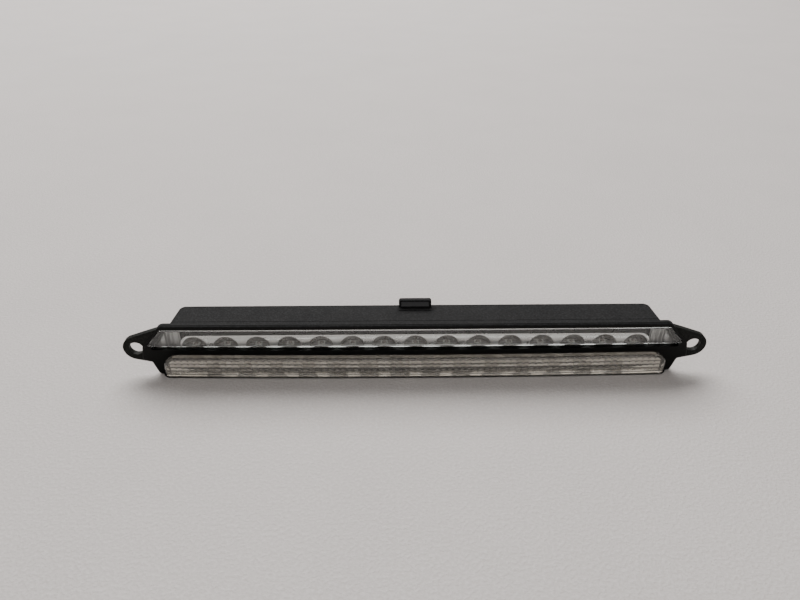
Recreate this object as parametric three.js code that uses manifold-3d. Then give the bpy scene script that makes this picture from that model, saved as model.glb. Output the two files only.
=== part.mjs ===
// A high-mount stop lamp: a long black housing with a bezel, two clear lenses and two rows of LEDs.
// Millimetres. +X runs along the lamp, -Y points out of the lenses, +Z is up, and the lamp lies on z = 0.
import * as THREE from 'three';
import { mergeVertices } from 'three/addons/utils/BufferGeometryUtils.js';
import Module from 'manifold-3d';

const wasm = await Module();
wasm.setup();

// ---------- driving dimensions ----------

const gap = 0.3; // clearance left between pieces that meet
const ledPitch = 16;
const upperLedCount = 15;
const lowerLedCount = upperLedCount - 1; // the lower row stands half a pitch off the upper one

// Front body. y = 0 is the middle of the bezel's front face.
const bodyHeight = 30.5;
const bezelDepth = 3.3;
const ledgeFront = 2.5; // the lens rebates are this deep, and a ledge closes them behind

// The front is crowned: it falls back towards the ends, more at the bottom than at the top.
const sagSpan = 110;
const lowerSag = 1.1;
const upperSag = 0.3;

const upperLens = { topHalf: 126.6, bottomHalf: 135.2, bottom: 18.1, top: 28.1, front: -0.6, back: 1.4 };
const lowerLens = { half: 129, bottom: 1.1, top: 12.8, front: -3.65, wall: 2, topRadius: 8.4, bottomRadius: 2, endRadius: 4.6 };
const plugInset = 1.2; // the lower lens's plug is smaller than its face by this
const ledge = 1.6; // how far the lower ledge reaches in behind the lens edge
const upperWindow = { topHalf: 126.4, bottomHalf: 134, bottom: 15.7, top: 26.6 }; // it drops behind the lens's lower edge
const chin = { half: 130.2, front: -2.9, top: 0.8 }; // the lip that runs out under the lower lens
const pocket = { floor: 6.2, back: 7.4, wall: 1, inner: 122.7 }; // it closes the window's ends beside the housing

// Ears: flat plates beside the body, a little behind its front face. Their edges would meet at the tip.
const ear = { front: 2.2, back: 4.9, x: 141.1, z: 16.2, radius: 6.8, tipX: 163.4, tipZ: 14.8, hole: 3.7 };

// Rear housing
const wall = 1.8;
const housing = { front: 3.6, back: 19.1, halfFront: 122.2, halfBack: 120.4, top: 30.3, cornerRadius: 3 };
const tab = { half: 8.3, top: 34.6, thickness: 2.2, radius: 1.2, rim: 1.1, recess: 0.7 };
const pad = { depth: 5.2, rise: 0.3 };

// Upper reflector: quarter-sphere cups above the level board
const upperReflector = { front: 4.6, back: 12, half: 119, bottom: 14.9, cupBase: 15.6, top: 22.7, railTop: 16.4, railBack: 5.4 };
const cupRadius = 6.1;
const wing = { outerTop: 125.6, outerBottom: 132.6, front: 5, back: 5.6, bottom: 16.1, top: 26 };

// Lower reflector: round bowls in front of the upright board
const lowerReflector = { front: 5.1, back: 10.1, half: 117.5, bottom: 2.2, top: 13.4 };
const bowl = { z: 7.2, mouthRadius: 5, throatRadius: 2.4 };

const upperBoard = { half: 118, front: 5.7, back: 16.5, bottom: 14.2, top: 15.2 };
const lowerBoard = { half: 117, front: 11, back: 12, bottom: 2.3, top: 13.4 };

const led = { width: 3.5, depth: 2.8, height: 0.8, domeRadius: 1.1 };
const upperLedY = 7.6;

const screw = { headRadius: 2, headHeight: 1.4, shankRadius: 1.1, shankLength: 6, pilotRadius: 1.4 };
const postRadius = 2.2;
const upperScrew = { x: 60, y: 14.6 };
const lowerScrew = { x: 48, z: 7.2 };

// Connector socket in the rear wall
const socket = { x: 84, z: 8.5, half: 8.5, halfHeight: 4.75, wall: 1.4, inner: 13.6, floor: 15.2, mouth: 25.1 };
const collar = { overhang: 2, front: 20.1, back: 21.3 };
const socketSeal = { front: 19.35, back: 19.85 };
const pin = { spacing: 6.4, width: 2.2, thickness: 0.64, inner: 12.5, tip: 20.2 };

// Driver parts in a row on the level board, and the link that joins the two boards
const driver = { y: 14.4, regulatorX: 20, diodeX: 36, resistorX: -16, resistorPitch: 12, resistors: 3 };
const link = { half: 4, front: 12.4, back: 14.4, bottom: 10.4, top: 13.8 };

// ---------- materials ----------

function finish(color, roughness, metalness = 0) {
  return new THREE.MeshStandardMaterial({ color, roughness, metalness });
}

const clearPlastic = finish(0xdfe3df, 0.08);
clearPlastic.transparent = true;
clearPlastic.opacity = 0.35;

const materials = {
  housing: finish(0x3a3a3a, 0.7),
  bezel: finish(0x121312, 0.5),
  lens: clearPlastic,
  mirror: finish(0xc8c6c3, 0.15, 1),
  board: finish(0x1d3b2a, 0.6),
  led: finish(0xe6e2cf, 0.4),
  rubber: finish(0x1b1b1b, 0.9),
  metal: finish(0xb9b7b0, 0.35, 1),
  component: finish(0x202022, 0.5),
};

// ---------- solids ----------

function solid(geometry) {
  geometry.deleteAttribute('normal');
  geometry.deleteAttribute('uv');
  const merged = mergeVertices(geometry, 1e-3);
  const vertProperties = new Float32Array(merged.attributes.position.array);
  const triVerts = new Uint32Array(uncollapsed([...merged.index.array]));
  return new wasm.Manifold(new wasm.Mesh({ numProp: 3, vertProperties, triVerts }));
}

// Triangles whose three corners are still apart once vertices are merged
function uncollapsed(index) {
  const kept = [];
  for (let i = 0; i < index.length; i += 3) {
    const [a, b, c] = index.slice(i, i + 3);
    if (a !== b && b !== c && c !== a) kept.push(a, b, c);
  }
  return kept;
}

function geometryOf(body) {
  const { vertProperties, triVerts } = body.getMesh();
  const geometry = new THREE.BufferGeometry();
  geometry.setAttribute('position', new THREE.BufferAttribute(vertProperties, 3));
  geometry.setIndex(new THREE.BufferAttribute(triVerts, 1));
  const flat = geometry.toNonIndexed();
  flat.computeVertexNormals();
  return flat;
}

function box(x0, x1, y0, y1, z0, z1) {
  const block = new THREE.BoxGeometry(x1 - x0, y1 - y0, z1 - z0);
  return solid(block.translate((x0 + x1) / 2, (y0 + y1) / 2, (z0 + z1) / 2));
}

// A round bar along +Y, from y0 to y1
function barY(radius0, radius1, x, y0, y1, z) {
  const bar = new THREE.CylinderGeometry(radius1, radius0, y1 - y0, 16);
  return solid(bar.translate(x, (y0 + y1) / 2, z));
}

// A round bar along +Z, from z0 to z1
function barZ(radius, x, y, z0, z1) {
  const bar = new THREE.CylinderGeometry(radius, radius, z1 - z0, 16).rotateX(Math.PI / 2);
  return solid(bar.translate(x, y, (z0 + z1) / 2));
}

// ---------- outlines: lists of [across, up, corner radius], anticlockwise ----------

function mirrored(rightHalf) {
  return [...rightHalf, ...flipped(rightHalf)];
}

function flipped(corners) {
  return corners.map(([x, z, r]) => [-x, z, r]).reverse();
}

// The same outline grown outwards by `by`, or shrunk where `by` is negative
function offset(corners, by) {
  const edges = corners.map(([x, z], i) => {
    const [nextX, nextZ] = corners[(i + 1) % corners.length];
    const along = new THREE.Vector2(nextX - x, nextZ - z).normalize();
    const outward = new THREE.Vector2(along.y, -along.x);
    return { point: new THREE.Vector2(x, z).addScaledVector(outward, by), along };
  });
  return corners.map(([, , radius], i) => {
    const before = edges[(i + edges.length - 1) % edges.length];
    const after = edges[i];
    const between = after.point.clone().sub(before.point);
    const reach = between.cross(after.along) / before.along.cross(after.along);
    const corner = before.point.clone().addScaledVector(before.along, reach);
    return [corner.x, corner.y, radius > 0 ? Math.max(radius + by, 0.2) : 0];
  });
}

// A shape whose corners are rounded by arcs of their own radius
function rounded(corners) {
  const shape = new THREE.Shape();
  corners.forEach(([x, z, radius], i) => {
    const corner = new THREE.Vector2(x, z);
    const [beforeX, beforeZ] = corners[(i + corners.length - 1) % corners.length];
    const [afterX, afterZ] = corners[(i + 1) % corners.length];
    const back = new THREE.Vector2(beforeX, beforeZ).sub(corner).normalize();
    const on = new THREE.Vector2(afterX, afterZ).sub(corner).normalize();
    const half = Math.acos(THREE.MathUtils.clamp(back.dot(on), -1, 1)) / 2;
    const start = corner.clone().addScaledVector(back, radius / Math.tan(half));
    const end = corner.clone().addScaledVector(on, radius / Math.tan(half));
    if (i === 0) shape.moveTo(start.x, start.y);
    else shape.lineTo(start.x, start.y);
    if (radius === 0) return;
    const centre = corner.clone().addScaledVector(back.clone().add(on).normalize(), radius / Math.sin(half));
    const [startAngle, endAngle] = [start.sub(centre).angle(), end.sub(centre).angle()];
    shape.absarc(centre.x, centre.y, radius, startAngle, endAngle, back.cross(on) > 0);
  });
  return shape;
}

// An outline in the XZ plane, pushed along Y
function prismY(corners, y0, y1) {
  const shape = rounded(corners);
  const prism = new THREE.ExtrudeGeometry(shape, { depth: y1 - y0, bevelEnabled: false, curveSegments: 5 });
  return solid(prism.rotateX(Math.PI / 2).translate(0, y1, 0));
}

// An outline in the XY plane, pushed along Z
function prismZ(corners, z0, z1) {
  const shape = rounded(corners);
  const prism = new THREE.ExtrudeGeometry(shape, { depth: z1 - z0, bevelEnabled: false, curveSegments: 5 });
  return solid(prism.translate(0, 0, z0));
}

function crown(x, z) {
  const share = (z - lowerLens.top) / (upperLens.top - lowerLens.top);
  const sag = THREE.MathUtils.lerp(lowerSag, upperSag, THREE.MathUtils.clamp(share, 0, 1));
  return sag * (x / sagSpan) ** 2;
}

// Everything between two depths behind the crowned front, on one shared grid so that neighbours stay parallel
function crownedSlab(front, back) {
  const slab = new THREE.BoxGeometry(20 * ledPitch, back - front, 40, 10, 1, 2);
  slab.translate(0, (front + back) / 2, bodyHeight / 2);
  const position = slab.attributes.position;
  for (let i = 0; i < position.count; i += 1) {
    position.setY(i, position.getY(i) + crown(position.getX(i), position.getZ(i)));
  }
  return solid(slab);
}

// A slice of an outline between two depths behind the crowned front
function crowned(corners, front, back) {
  return prismY(corners, front - 5, back + 5).intersect(crownedSlab(front, back));
}

const upperLensOutline = mirrored([
  [upperLens.bottomHalf, upperLens.bottom, 0.8],
  [upperLens.topHalf, upperLens.top, 1],
]);

const lowerLensOutline = mirrored([
  [lowerLens.half, lowerLens.bottom, lowerLens.bottomRadius],
  [lowerLens.half, lowerLens.top, lowerLens.topRadius],
]);

const upperWindowOutline = mirrored([
  [upperWindow.bottomHalf, upperWindow.bottom, 0.8],
  [upperWindow.topHalf, upperWindow.top, 1],
]);

const bodyOutline = mirrored([
  [132.2, 0, 2.2],
  [134.6, 7.8, 0],
  [139.2, 9.6, 1],
  [137.8, 17.4, 2],
  [126.8, bodyHeight, 4],
]);

const earOutline = [
  [pocket.inner, 4.6, 0],
  [ear.tipX, ear.tipZ, ear.radius],
  [124, 30.1, 0.6],
  [pocket.inner, 30.1, 0],
];

// ---------- pieces ----------

const lamp = new THREE.Group();

function add(name, body, material) {
  const mesh = new THREE.Mesh(geometryOf(body), material);
  mesh.name = name;
  lamp.add(mesh);
  return mesh;
}

function number(i) {
  return String(i + 1).padStart(2, '0');
}

function housingPlan(inset) {
  const slope = (housing.halfFront - housing.halfBack) / housing.back;
  const back = housing.back - inset;
  return mirrored([
    [housing.halfFront - inset, 0, 0],
    [housing.halfFront - inset - slope * back, back, housing.cornerRadius - inset],
  ]);
}

function rearHousing() {
  let body = prismZ(housingPlan(0), 0, housing.top);
  body = body.subtract(prismZ(housingPlan(wall), wall, housing.top - wall));
  for (const side of [-1, 1]) {
    body = body.add(barZ(postRadius, side * upperScrew.x, upperScrew.y, 1, upperBoard.bottom - gap));
    body = body.subtract(barZ(screw.pilotRadius, side * upperScrew.x, upperScrew.y, 7, upperBoard.top));
    const [x, z] = [side * lowerScrew.x, lowerScrew.z];
    body = body.add(barY(postRadius, postRadius, x, lowerBoard.back + gap, housing.back - 1, z));
    body = body.subtract(barY(screw.pilotRadius, screw.pilotRadius, x, lowerBoard.back, 17.5, z));
  }
  body = body.add(locatingTab());
  const [hole, holeHeight] = [socket.half + gap, socket.halfHeight + gap];
  body = body.subtract(box(
    socket.x - hole, socket.x + hole, 15, 22, socket.z - holeHeight, socket.z + holeHeight,
  ));
  // notches that let the reflector's wings out past the side walls
  body = body.subtract(box(-130, 130, 0, wing.back + gap, wing.bottom - gap, wing.top + gap));
  return body.subtract(crownedSlab(-20, housing.front));
}

// The tongue on the rear edge, with a recessed face, and the thin pad in front of it
function locatingTab() {
  const outline = (inset, foot) => mirrored([
    [tab.half - inset, foot, 0],
    [tab.half - inset, tab.top - inset, tab.radius],
  ]);
  const front = housing.back - tab.thickness;
  const tongue = prismY(outline(0, housing.top - 1), front, housing.back);
  const recess = prismY(outline(tab.rim, housing.top + pad.rise), front - 1, front + tab.recess);
  const pads = box(-tab.half, tab.half, housing.back - pad.depth, housing.back,
    housing.top - 1, housing.top + pad.rise);
  return tongue.subtract(recess).add(pads);
}

// What lies outside the round ends, in plan, of a piece with this half length and front
function outsideRoundEnds(half, front) {
  const radius = lowerLens.endRadius;
  const y = front + crown(half, 0) + radius;
  const ends = [-1, 1].map((side) => {
    const corner = box(half - radius, half + 1, front - 1, y, -1, bodyHeight);
    const kept = corner.subtract(barZ(radius, half - radius, y, -2, bodyHeight + 1));
    return side > 0 ? kept : kept.mirror([1, 0, 0]);
  });
  return ends[0].add(ends[1]);
}

function frontBezel() {
  const betweenPockets = box(-pocket.inner, pocket.inner, -10, 20, -5, 40);
  let body = crowned(bodyOutline, 0, bezelDepth);
  const lip = crowned(mirrored([[chin.half, 0, 0], [chin.half, chin.top, 0]]), chin.front, 1);
  body = body.add(lip.subtract(outsideRoundEnds(chin.half, chin.front)));
  for (const corners of [earOutline, flipped(earOutline)]) {
    body = body.add(prismY(corners, ear.front, ear.back));
  }
  body = body.add(prismY(offset(upperWindowOutline, pocket.wall), ledgeFront, pocket.back).subtract(betweenPockets));
  for (const side of [-1, 1]) {
    body = body.subtract(barY(ear.hole, ear.hole, side * ear.x, 0, 20, ear.z));
  }
  body = body.subtract(crowned(offset(upperLensOutline, gap), -5, ledgeFront));
  body = body.subtract(crowned(offset(lowerLensOutline, gap - plugInset), -5, ledgeFront));
  body = body.subtract(crowned(upperWindowOutline, -5, bezelDepth + 1));
  body = body.subtract(prismY(upperWindowOutline, ledgeFront, pocket.floor).subtract(betweenPockets));
  return body.subtract(crowned(offset(lowerLensOutline, -plugInset - ledge), -5, bezelDepth + 2));
}

function upperLensPlate() {
  return crowned(upperLensOutline, upperLens.front, upperLens.back);
}

function lowerLensCup() {
  const face = crowned(lowerLensOutline, lowerLens.front, -gap)
    .subtract(outsideRoundEnds(lowerLens.half, lowerLens.front));
  const plug = crowned(offset(lowerLensOutline, -plugInset), -gap - 0.1, upperLens.back);
  const hollow = crowned(offset(lowerLensOutline, -plugInset - ledge), lowerLens.front + lowerLens.wall, 5);
  return face.add(plug).subtract(hollow);
}

function upperReflectorBody() {
  const r = upperReflector;
  let body = box(-r.half, r.half, r.front, r.back, r.bottom, r.top);
  body = body.subtract(box(-r.half - 1, r.half + 1, r.railBack, r.back + 1, r.bottom - 1, r.cupBase));
  const upperHalf = box(-ledPitch / 2, ledPitch / 2, -ledPitch, ledPitch, 0, ledPitch);
  const ball = solid(new THREE.SphereGeometry(cupRadius, 16, 8).rotateX(Math.PI / 2));
  const cup = ball.intersect(upperHalf);
  for (let i = 0; i < upperLedCount; i += 1) {
    body = body.subtract(cup.translate([ledX(i, upperLedCount), r.front, r.cupBase]));
  }
  body = body.add(box(-r.half, r.half, r.front, r.railBack, r.bottom, r.railTop));
  const wings = mirrored([
    [wing.outerBottom, wing.bottom, 1],
    [wing.outerTop, wing.top, 1],
  ]);
  const innerEdge = r.half - 1;
  const ends = prismY(wings, wing.front, wing.back)
    .subtract(box(-innerEdge, innerEdge, 0, 20, 0, 40));
  return body.add(ends);
}

function lowerReflectorBody() {
  const r = lowerReflector;
  let body = box(-r.half, r.half, r.front, r.back, r.bottom, r.top);
  for (let i = 0; i < lowerLedCount; i += 1) {
    const x = ledX(i, lowerLedCount);
    body = body.subtract(barY(bowl.mouthRadius, bowl.throatRadius, x, r.front, r.back, bowl.z));
  }
  for (const side of [-1, 1]) {
    const head = screw.headRadius + 2 * gap;
    const front = lowerBoard.front - screw.headHeight - gap;
    body = body.subtract(barY(head, head, side * lowerScrew.x, front, r.back + 1, lowerScrew.z));
  }
  return body;
}

function levelBoard() {
  const b = upperBoard;
  let body = box(-b.half, b.half, b.front, b.back, b.bottom, b.top);
  for (const side of [-1, 1]) {
    body = body.subtract(barZ(screw.pilotRadius, side * upperScrew.x, upperScrew.y, 0, 20));
  }
  return body;
}

function uprightBoard() {
  const b = lowerBoard;
  let body = box(-b.half, b.half, b.front, b.back, b.bottom, b.top);
  for (const side of [-1, 1]) {
    const x = side * lowerScrew.x;
    body = body.subtract(barY(screw.pilotRadius, screw.pilotRadius, x, 0, 20, lowerScrew.z));
  }
  return body;
}

function ledX(i, count) {
  return (i - (count - 1) / 2) * ledPitch;
}

// An LED package standing on z = 0: a square body and the dome over its chip
function ledPackage() {
  const base = box(-led.width / 2, led.width / 2, -led.depth / 2, led.depth / 2, 0, led.height);
  const ball = solid(new THREE.SphereGeometry(led.domeRadius, 8, 6).rotateX(Math.PI / 2));
  const dome = ball.translate([0, 0, led.height - 0.3]);
  const room = box(-led.width, led.width, -led.depth, led.depth, 0, 2 * led.depth);
  return base.add(dome.intersect(room));
}

// A pan-head screw whose head seats on z = 0 and whose shank points down
function boardScrew() {
  const profile = [
    [0, -screw.shankLength],
    [screw.shankRadius * 0.5, -screw.shankLength],
    [screw.shankRadius, -screw.shankLength + 1],
    [screw.shankRadius, 0],
    [screw.headRadius, 0],
    [screw.headRadius, screw.headHeight * 0.5],
    [screw.headRadius * 0.7, screw.headHeight],
    [0, screw.headHeight],
  ].map(([radius, up]) => new THREE.Vector2(radius, up));
  return solid(new THREE.LatheGeometry(profile, 12).rotateX(Math.PI / 2));
}

function connectorSocket() {
  const s = socket;
  const shell = (inset, y0, y1) => box(
    s.x - s.half + inset, s.x + s.half - inset, y0, y1,
    s.z - s.halfHeight + inset, s.z + s.halfHeight - inset,
  );
  let body = shell(0, s.inner, s.mouth).add(shell(-collar.overhang, collar.front, collar.back));
  body = body.subtract(shell(s.wall, s.floor, s.mouth + 1));
  for (const side of [-1, 1]) {
    const [x, width, thickness] = [pinX(side), pin.width / 2 + gap, pin.thickness / 2 + gap];
    body = body.subtract(box(x - width, x + width, 0, s.floor + 1, s.z - thickness, s.z + thickness));
  }
  return body;
}

function pinX(side) {
  return socket.x + (side * pin.spacing) / 2;
}

function socketSealRing() {
  const ring = (grow) => box(
    socket.x - socket.half - grow, socket.x + socket.half + grow, socketSeal.front, socketSeal.back,
    socket.z - socket.halfHeight - grow, socket.z + socket.halfHeight + grow,
  );
  return ring(collar.overhang - 0.4).subtract(ring(gap));
}

function terminalPin(side) {
  const x = pinX(side);
  return box(x - pin.width / 2, x + pin.width / 2, pin.inner, pin.tip,
    socket.z - pin.thickness / 2, socket.z + pin.thickness / 2);
}

// A small board component: a block with a narrower top, standing on the level board
function component(x, length, width, height) {
  const { y } = driver;
  const foot = upperBoard.top + gap;
  const lower = box(x - length / 2, x + length / 2, y - width / 2, y + width / 2, foot, foot + height * 0.6);
  const [topLength, topWidth] = [length * 0.46, width * 0.42];
  const upper = box(x - topLength, x + topLength, y - topWidth, y + topWidth, foot, foot + height);
  return lower.add(upper);
}

add('rear_housing', rearHousing(), materials.housing);
add('front_bezel', frontBezel(), materials.bezel);
add('upper_lens', upperLensPlate(), materials.lens);
add('lower_lens', lowerLensCup(), materials.lens);
add('upper_reflector', upperReflectorBody(), materials.mirror);
add('lower_reflector', lowerReflectorBody(), materials.mirror);
add('level_board', levelBoard(), materials.board);
add('upright_board', uprightBoard(), materials.board);

for (let i = 0; i < upperLedCount; i += 1) {
  const mesh = add(`upper_led_${number(i)}`, ledPackage(), materials.led);
  mesh.position.set(ledX(i, upperLedCount), upperLedY, upperBoard.top + 0.05);
}

for (let i = 0; i < lowerLedCount; i += 1) {
  const mesh = add(`lower_led_${number(i)}`, ledPackage(), materials.led);
  mesh.rotation.x = Math.PI / 2;
  mesh.position.set(ledX(i, lowerLedCount), lowerBoard.front - 0.05, bowl.z);
}

['left', 'right'].forEach((sideName, i) => {
  const side = 2 * i - 1;
  const upper = add(`level_board_screw_${sideName}`, boardScrew(), materials.metal);
  upper.position.set(side * upperScrew.x, upperScrew.y, upperBoard.top + 0.05);
  const lower = add(`upright_board_screw_${sideName}`, boardScrew(), materials.metal);
  lower.rotation.x = Math.PI / 2;
  lower.position.set(side * lowerScrew.x, lowerBoard.front - 0.05, lowerScrew.z);
  add(`terminal_${sideName}`, terminalPin(side), materials.metal);
});

add('connector_socket', connectorSocket(), materials.bezel);
add('connector_seal', socketSealRing(), materials.rubber);
add('board_link', box(-link.half, link.half, link.front, link.back, link.bottom, link.top), materials.component);
add('regulator', component(driver.regulatorX, 6.4, 3.4, 1.6), materials.component);
add('reverse_diode', component(driver.diodeX, 4.4, 2.6, 2.1), materials.component);
for (let i = 0; i < driver.resistors; i += 1) {
  const x = driver.resistorX - i * driver.resistorPitch;
  add(`resistor_${i + 1}`, component(x, 6.2, 3.1, 0.7), materials.component);
}

// the origin is under the middle of the whole lamp
const part = new THREE.Group();
lamp.position.y = -(lowerLens.front + socket.mouth) / 2;
part.add(lamp);

export default part;
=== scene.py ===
"""A high-mount stop lamp on a pale floor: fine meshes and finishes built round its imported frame.

Shapes are worked out in millimetres, with x along the lamp, y = 0 in the middle of the bezel's front face and
z = 0 on the floor. place() turns them into metres in the frame's own place.
"""

import math

import bmesh
import bpy
from mathutils import Matrix, Vector
from mathutils.geometry import intersect_point_line


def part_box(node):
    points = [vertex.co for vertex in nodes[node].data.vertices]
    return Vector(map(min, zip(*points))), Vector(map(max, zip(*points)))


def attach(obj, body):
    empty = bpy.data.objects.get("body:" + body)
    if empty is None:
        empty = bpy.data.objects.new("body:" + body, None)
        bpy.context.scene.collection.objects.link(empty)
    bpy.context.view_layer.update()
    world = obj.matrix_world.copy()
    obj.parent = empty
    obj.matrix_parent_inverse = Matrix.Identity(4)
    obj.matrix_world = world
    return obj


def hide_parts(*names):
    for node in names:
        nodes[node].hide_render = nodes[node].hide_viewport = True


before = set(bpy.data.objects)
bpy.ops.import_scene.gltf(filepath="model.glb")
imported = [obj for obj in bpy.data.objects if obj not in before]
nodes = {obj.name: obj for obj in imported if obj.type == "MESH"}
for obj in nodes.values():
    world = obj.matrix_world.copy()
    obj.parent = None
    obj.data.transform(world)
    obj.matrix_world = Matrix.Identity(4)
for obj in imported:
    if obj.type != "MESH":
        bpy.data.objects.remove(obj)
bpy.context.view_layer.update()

MM = 0.001

# ---------- driving sizes, in millimetres ----------

GAP = 0.3
PITCH = 16.0
CUPS = 15
BOWLS = CUPS - 1

BODY_HEIGHT = 30.5
BEZEL_DEPTH = 3.3
LEDGE_FRONT = 2.5
RIM_ROUND = 0.9
RIM_GROOVE_FRONT, RIM_GROOVE_BACK, RIM_GROOVE_DEEP = 1.0, 1.4, 0.35

SAG_SPAN = 110.0
SAG_LOW = 1.1
SAG_HIGH = 0.3

UPPER_TOP_HALF, UPPER_BOTTOM_HALF = 126.6, 135.2
UPPER_BOTTOM, UPPER_TOP = 18.1, 28.1
UPPER_FRONT, UPPER_BACK = -0.6, 1.4

LOWER_HALF = 129.0
LOWER_BOTTOM, LOWER_TOP = 1.1, 12.8
LOWER_FRONT = -3.65
LOWER_WALL = 1.6
END_RADIUS = 4.6
PLUG_INSET = 0.6
SKIRT = 0.9

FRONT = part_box("lower_lens")[0].y - LOWER_FRONT * MM
PLACE = Matrix.Translation((0, FRONT, 0)) @ Matrix.Scale(MM, 4)

CHIN_HALF, CHIN_FRONT, CHIN_TOP = 130.2, -2.9, 0.8

EAR_FRONT, EAR_BACK = 2.2, 4.9
EAR_X, EAR_Z, EAR_HOLE = 141.1, 16.2, 3.7
EAR_SAG = 1.45
EAR_ROOT, EAR_FLAT = 130.0, 137.0

POCKET_INNER, POCKET_FLOOR, POCKET_BACK, POCKET_WALL = 122.7, 6.2, 7.4, 1.0
WING_BACK = 5.6
WING_ROOM_HALF, WING_ROOM_BOTTOM, WING_ROOM_TOP = 133.0, 15.8, 26.3

HOUSING_FRONT, HOUSING_BACK = 3.6, 19.1
HOUSING_HALF_FRONT, HOUSING_HALF_BACK = 122.2, 120.4
HOUSING_TOP, WALL = 30.3, 1.8
HOUSING_STRAIGHT = 9.0  # the housing has no crown behind this

SEAM_FRONT, SEAM_BACK, SEAM_DEEP = 1.1, 1.35, 0.22

PILLOW_WIDE, PILLOW_ROWS, PILLOW_RISE, PILLOW_CELLS = PITCH / 5, 4, 0.8, 8

TAB_HALF, TAB_TOP, TAB_THICK, TAB_ROUND = 8.3, 34.6, 2.2, 1.2
RECESS_SIDE, RECESS_FOOT, RECESS_HEAD = 1.1, 0.5, 0.9
RECESS_SHALLOW, RECESS_DEEP = 0.15, 1.4
PAD_DEPTH, PAD_RISE = 5.2, 0.3

POST_RADIUS, POST_BORE = 2.2, 1.4
LEVEL_POST_X, LEVEL_POST_Y, LEVEL_POST_TOP = 60, 14.6, 13.9
UPRIGHT_POST_X, UPRIGHT_POST_Z, UPRIGHT_POST_FRONT = 48, 7.2, 12.3
SOCKET_HALF_WIDE, SOCKET_HALF_TALL = 8.5, 4.75

WEB_FRONT, WEB_TOP, WEB_HALF = 4.6, 22.7, 119.0
CUP_BASE, CUP_RADIUS = 15.6, 6.1
RAIL_BOTTOM, RAIL_TOP, RAIL_BACK = 14.9, 16.4, 5.4
REFLECTOR_BACK = 12.0
CUP_ROLL, WEB_END_ROUND, SKIN_THICK = 0.35, 5.5, 0.5

TRAY_HALF, TRAY_FRONT, TRAY_BACK, TRAY_BOTTOM, TRAY_TOP = 117.5, 5.1, 10.1, 2.2, 13.4
BOWL_Z, BOWL_MOUTH, BOWL_THROAT = 7.2, 5.0, 2.4
HEAD_ROOM, HEAD_DEEP = 2.6, 2.1
END_PLATE_INNER, END_PLATE_FRONT, END_PLATE_THICK, END_PLATE_LEAN = 112.0, 1.5, 0.3, 0.12

LED_HALF_WIDE, LED_HALF_DEEP, LED_TALL = 1.75, 1.4, 0.8
WELL_RADIUS, WELL_FLOOR = 1.15, 0.65
DOME_RADIUS, DOME_FOOT, DOME_RISE = 1.1, 0.66, 0.8

PAST = 200.0  # further along the lamp than any piece reaches


# ---------- outlines: lists of (across, up, corner radius), anticlockwise ----------

def mirrored(right_half):
    return right_half + flipped(right_half)


def flipped(corners):
    return [(-x, z, r) for x, z, r in reversed(corners)]


def grow(corners, by):
    """The same outline moved outwards by `by`, or inwards where it is negative."""
    edges = []
    for i, (x, z, _) in enumerate(corners):
        to = corners[(i + 1) % len(corners)]
        along = Vector((to[0] - x, to[1] - z)).normalized()
        edges.append((Vector((x, z)) + Vector((along.y, -along.x)) * by, along))
    grown = []
    for i, (_, _, radius) in enumerate(corners):
        (p, d), (q, e) = edges[i - 1], edges[i]
        reach = (q - p).cross(e) / d.cross(e)
        corner = p + d * reach
        grown.append((corner.x, corner.y, max(radius + by, 0.2) if radius else 0))
    return grown


def rounded(corners, step=15.0):
    """Points round an outline, with each corner's own arc in it and a point every `step` degrees."""
    points = []
    for i, (x, z, radius) in enumerate(corners):
        corner = Vector((x, z))
        if not radius:
            points.append(corner)
            continue
        back = (Vector(corners[i - 1][:2]) - corner).normalized()
        on = (Vector(corners[(i + 1) % len(corners)][:2]) - corner).normalized()
        half = math.acos(max(-1, min(1, back.dot(on)))) / 2
        centre = corner + (back + on).normalized() * radius / math.sin(half)
        start = corner + back * radius / math.tan(half) - centre
        turn = math.pi - 2 * half
        if back.cross(on) > 0:
            turn = -turn
        count = max(2, round(abs(math.degrees(turn)) / step))
        for k in range(count + 1):
            points.append(centre + Matrix.Rotation(turn * k / count, 2) @ start)
    return points


UPPER_LENS = mirrored([(UPPER_BOTTOM_HALF, UPPER_BOTTOM, 0.8), (UPPER_TOP_HALF, UPPER_TOP, 1.0)])
UPPER_WINDOW = mirrored([(134.0, 15.7, 0.8), (126.4, 26.6, 1.0)])
LOWER_WINDOW = mirrored([(122.0, 2.9, 0.5), (122.0, 11.0, 5.0)])
LOWER_LENS = mirrored([(LOWER_HALF, LOWER_BOTTOM, 2.0), (LOWER_HALF, LOWER_TOP, 9.0)])
BODY = mirrored([
    (132.2, 0, 2.2),
    (134.6, 7.8, 0.8),
    (139.2, 9.6, 1.0),
    (137.8, 17.4, 2.0),
    (126.8, BODY_HEIGHT, 4.0),
])
EAR = [
    (130.6, 6.6, 0),
    (163.3, 14.8, 6.8),
    (127.0, 28.9, 0),
    (128.4, 26.6, 0),
    (136.0, 15.9, 0),
    (130.6, 14.2, 0),
]


def plan(half, front, radius):
    """A lens or lip seen from above: its front corners are round."""
    return mirrored([(half, front, radius), (half, 8, 0)])


# ---------- building solids ----------

def new_object(name, bm):
    mesh = bpy.data.meshes.new(name)
    bmesh.ops.recalc_face_normals(bm, faces=bm.faces)
    bm.to_mesh(mesh)
    bm.free()
    made = bpy.data.objects.new(name, mesh)
    bpy.context.scene.collection.objects.link(made)
    return made


def prism(low_ring, high_ring):
    bm = bmesh.new()
    low = [bm.verts.new(p) for p in low_ring]
    high = [bm.verts.new(p) for p in high_ring]
    bm.faces.new(low)
    bm.faces.new(high)
    for i in range(len(low)):
        bm.faces.new((low[i - 1], low[i], high[i], high[i - 1]))
    return new_object("solid", bm)


def prism_y(corners, y0, y1, step=15.0):
    ring = rounded(corners, step)
    return prism([(p.x, y0, p.y) for p in ring], [(p.x, y1, p.y) for p in ring])


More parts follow.
